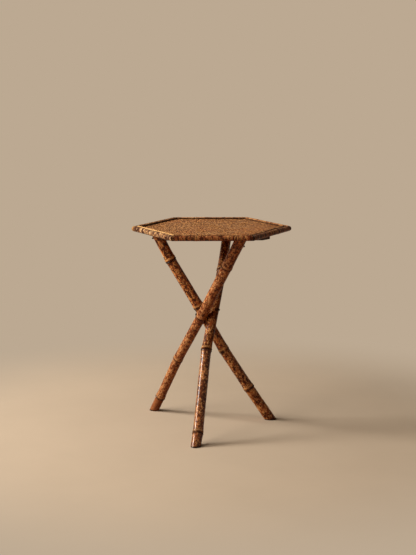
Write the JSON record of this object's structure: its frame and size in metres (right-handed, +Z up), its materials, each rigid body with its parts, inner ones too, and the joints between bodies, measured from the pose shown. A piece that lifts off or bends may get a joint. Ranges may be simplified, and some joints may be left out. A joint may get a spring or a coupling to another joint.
{
  "type": "bamboo side table",
  "caption": "Side table with a six-sided top of woven grass matting, edged with mottled bamboo, on crossed bamboo poles that spread to the floor.",
  "frame": {"origin": "on the floor, in the middle of the table's footprint box", "axes": "+Z up; +X to the viewer's right and -Y towards the viewer, who sees one straight side of the top square on"},
  "size_m": [0.4766, 0.4656, 0.6099],
  "materials": {
    "deal": "planed softwood, left bare under the top",
    "woven_grass": "brown woven grass matting under a thin satin varnish",
    "mottled_cane": "scorched tortoiseshell bamboo under a clear gloss varnish",
    "golden_cane": "plain split bamboo under a clear gloss varnish",
    "mottled_pole": "scorched tortoiseshell bamboo pole under a clear gloss varnish",
    "batten_wood": "brown stained softwood",
    "black_iron": "blackened wire nails and screws"
  },
  "bodies": {
    "root": {"board_left": "deal", "board_middle": "deal", "board_right": "deal", "matting": "woven_grass", "rim_front": "mottled_cane", "rim_front_right": "mottled_cane", "rim_back_right": "mottled_cane", "rim_back": "mottled_cane", "rim_back_left": "mottled_cane", "rim_front_left": "mottled_cane", "bead_front": "golden_cane", "bead_front_right": "golden_cane", "bead_back_right": "golden_cane", "bead_back": "golden_cane", "bead_back_left": "golden_cane", "bead_front_left": "golden_cane", "batten_front": "batten_wood", "batten_back": "batten_wood", "leg_left": "mottled_pole", "leg_front": "mottled_pole", "leg_right": "mottled_pole", "crossing_nails": "black_iron", "top_nails": "black_iron", "batten_screws": "black_iron", "rim_pins": "black_iron", "bead_pins": "black_iron"}
  },
  "joints": []
}
